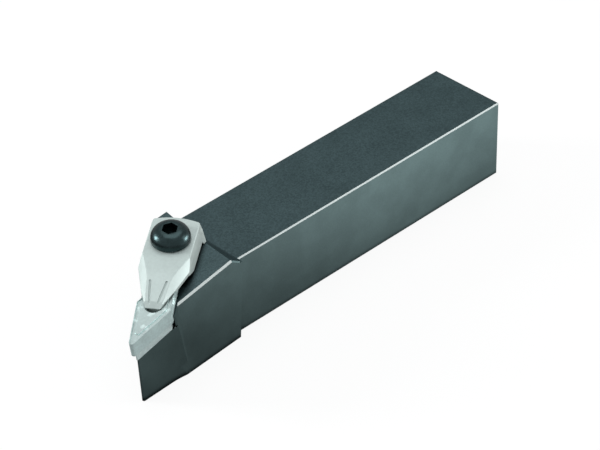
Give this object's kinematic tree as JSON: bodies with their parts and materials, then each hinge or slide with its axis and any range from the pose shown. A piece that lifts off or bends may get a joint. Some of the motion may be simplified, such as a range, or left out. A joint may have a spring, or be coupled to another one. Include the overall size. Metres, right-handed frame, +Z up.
{
  "type": "external turning tool",
  "caption": "Right-hand external turning tool: a square steel shank with an angled head, where a screwed clamp holds a sharp rhombic insert on its shim.",
  "frame": {"origin": "centre of the clamped shank's flat base, halfway between its rear face and the head", "axes": "+X along the shank towards the cutting corner, +Y to the side that cuts, +Z up from the base the tool rests on"},
  "size_m": [0.15, 0.032, 0.0378],
  "materials": {
    "body": "dark blackened steel, satin",
    "insert": "sintered carbide, pale grey, fine satin",
    "shim": "ground carbide, pale grey",
    "shim_screw": "blackened steel",
    "clamp": "nickel plated forging, soft satin",
    "clamp_screw": "blackened steel, oily gloss",
    "spring": "drawn spring wire"
  },
  "bodies": {
    "root": {"holder_body": "body", "insert": "insert", "shim": "shim", "shim_screw": "shim_screw", "clamp": "clamp", "clamp_screw": "clamp_screw", "clamp_spring": "spring"}
  },
  "joints": []
}
